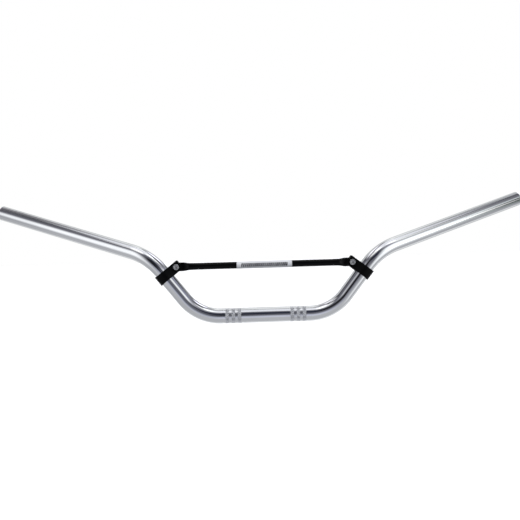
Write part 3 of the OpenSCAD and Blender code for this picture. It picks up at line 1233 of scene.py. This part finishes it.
@dataclass(frozen=True)
class Studio:
    """Pale floor, white surroundings, and soft lights and flags."""

    floor_z: float = -340.0
    floor_size: float = 30000.0
    floor_tones: tuple[float, float] = (0.93, 0.96)
    base: Triple = (0.142, 0.143, 0.170)
    darkest: Triple = (0.012, 0.012, 0.014)
    fill_strength: float = 2.6
    fill_spread: float = 70.0
    fill_turn: Triple = (38.0, -8.0, 0.0)
    lights: tuple[SoftGlow | OvalPanel, ...] = (
        SoftGlow(-6, -77, 48, 80, (0.346, 0.354, 0.354)),
        SoftGlow(171, 11, 69, 76, (0.443, 0.454, 0.441)),
        SoftGlow(9, 78, 21, 25, (0.721, 0.733, 0.767)),
        OvalPanel(-49, 3, -23, 0.24, 0.42, 0.64, (1.017, 1.039, 1.050)),
        OvalPanel(47, 7, 22, 0.28, 0.60, 0.56, (1.045, 1.084, 1.090)),
        OvalPanel(42, 57, 27, 0.14, 0.24, 0.45, (0.847, 0.870, 0.840)),
        OvalPanel(-28, 57, 22, 0.21, 0.24, 0.26, (0.815, 0.814, 0.799)),
        OvalPanel(10, 27, -33, 0.24, 0.25, 0.33, (-0.120, -0.118, -0.127)),
        OvalPanel(-110, 60, 0, 0.54, 0.26, 0.15, (-0.071, -0.071, -0.087)),
        OvalPanel(128, 52, -34, 0.43, 0.36, 0.20, (-0.599, -0.613, -0.604)),
        OvalPanel(-7, -21, -17, 0.45, 0.28, 0.42, (0.110, 0.121, 0.186)),
        OvalPanel(-11, -1, -1, 0.18, 0.52, 0.33, (-0.154, -0.154, -0.186)),
        OvalPanel(137, 56, -1, 0.52, 0.33, 0.37, (0.387, 0.399, 0.388)),
        OvalPanel(-114, 60, 1, 0.39, 0.12, 0.44, (0.993, 0.981, 1.050)),
        OvalPanel(76, 5, 15, 0.27, 0.41, 0.44, (-0.755, -0.710, -0.797)),
        OvalPanel(131, 51, 1, 0.20, 0.18, 0.48, (1.345, 1.326, 1.600)),
        OvalPanel(67, 4, 3, 0.14, 0.22, 0.49, (0.221, 0.280, 0.338)),
        OvalPanel(34, 36, 1, 0.19, 0.16, 0.50, (-0.447, -0.481, -0.452)),
        OvalPanel(64, 6, 2, 0.15, 0.24, 0.49, (-2.087, -2.293, -2.306)),
        OvalPanel(70, 12, 0, 0.30, 0.29, 0.49, (0.303, 0.366, 0.360)),
        OvalPanel(55, 0, -1, 0.15, 0.19, 0.49, (1.901, 1.986, 1.974)),
        OvalPanel(74, 1, 0, 0.16, 0.16, 0.50, (0.249, 0.259, 0.266)),
        OvalPanel(72, 1, 0, 0.16, 0.16, 0.50, (0.319, 0.292, 0.282)),
        OvalPanel(74, 34, 0, 0.16, 0.16, 0.50, (0.167, 0.178, 0.279)),
        OvalPanel(-145, 61, 0, 0.16, 0.16, 0.50, (-0.369, -0.401, -0.372)),
    )

    def world(self) -> None:
        """Light the scene from all round: the base plus each light's share of its strength."""
        sky = SkyGraph()
        total: Any = self.base
        for light in self.lights:
            total = sky.colour("MULTIPLY_ADD", light.share(sky), light.strength, total)
        sky.finish(sky.colour("MAXIMUM", total, self.darkest))

    def floor(self) -> None:
        """Lay the pale floor, well below the bar, and keep it out of the metal's reflections."""
        half = self.floor_size / 2.0 * MM
        z = self.floor_z * MM
        corners = [(-half, -half, z), (half, -half, z), (half, half, z), (-half, half, z)]
        mesh = bpy.data.meshes.new("studio_floor")
        mesh.from_pydata(corners, [], [(0, 1, 2, 3)])
        made = linked("studio_floor", mesh)
        graph = Graph("pale_floor")
        tone = graph.noise(graph.place(), 3.0, 2.0)
        low, high = (grey(value) for value in self.floor_tones)
        mesh.materials.append(graph.finish(graph.blend(tone, low, high), 0.9, specular=0.0))
        made.visible_glossy = False
        made.visible_diffuse = False

    def fill(self) -> None:
        """Hang a broad, soft fill overhead that lights the floor, the film and the black pieces."""
        lamp = bpy.data.lights.new("soft_fill", "SUN")
        lamp.energy = self.fill_strength
        lamp.angle = radians(self.fill_spread)
        made = linked("soft_fill", lamp)
        made.rotation_euler = [radians(angle) for angle in self.fill_turn]
        made.visible_glossy = False

    def build(self) -> None:
        """Set up the floor, the lights and plain display colours."""
        self.world()
        self.floor()
        self.fill()
        bpy.context.scene.view_settings.view_transform = "Standard"
        log.info("studio: %d soft patches", len(self.lights))


@dataclass(frozen=True)
class StudioCamera:
    """The camera at the picture's own viewing angle, a little to the side and nearly level with the bar."""

    elevation: float = 1.62
    azimuth: float = -1.178
    roll: float = -1.659
    distance: float = 1300.0
    target: Triple = (-6.21, 0.0, 81.32)
    focal_px: float = 877.0
    frame_px: float = 520.0
    sensor: float = 36.0

    def build(self) -> None:
        """Place the camera: forward from the two angles, then rolled about its own axis."""
        forward = -np.array(toward(self.azimuth, self.elevation))
        level = np.cross(forward, [0.0, 0.0, 1.0])
        level = level / np.linalg.norm(level)
        above = np.cross(level, forward)
        c, s = cos(radians(self.roll)), sin(radians(self.roll))
        place = (np.array(self.target) - forward * self.distance) * MM
        right = level * c + above * s
        up = above * c - level * s
        rows = np.column_stack((right, up, -forward, place)).tolist()
        camera = bpy.data.cameras.new("studio_camera")
        camera.sensor_width = self.sensor
        camera.lens = self.focal_px / self.frame_px * self.sensor
        camera.clip_start = 0.01
        camera.clip_end = 100.0
        made = linked("studio_camera", camera)
        made.matrix_world = Matrix([*rows, [0.0, 0.0, 0.0, 1.0]])
        bpy.context.scene.camera = made
        log.info("camera: %.1f mm lens", camera.lens)


def main() -> None:
    """Build and dress the handlebar, then the studio round it."""
    logging.basicConfig(level=logging.INFO, format="%(name)s: %(message)s")
    BentTube().build()
    crossbar = Crossbar()
    crossbar.build()
    bolt_x, bolt_z = crossbar.bolt
    PrintedSleeve(centre_z=bolt_z).build()
    zinc = ZincSteel().material()
    coat = ClampCoat().material()
    for side in Side:
        place = BoltPlace(bolt_x, bolt_z, side)
        CastClamp(coat).build(side)
        CapScrew(zinc).build(place)
        HexNut(zinc).build(place)
    Studio().build()
    StudioCamera().build()


if __name__ == "__main__":
    main()
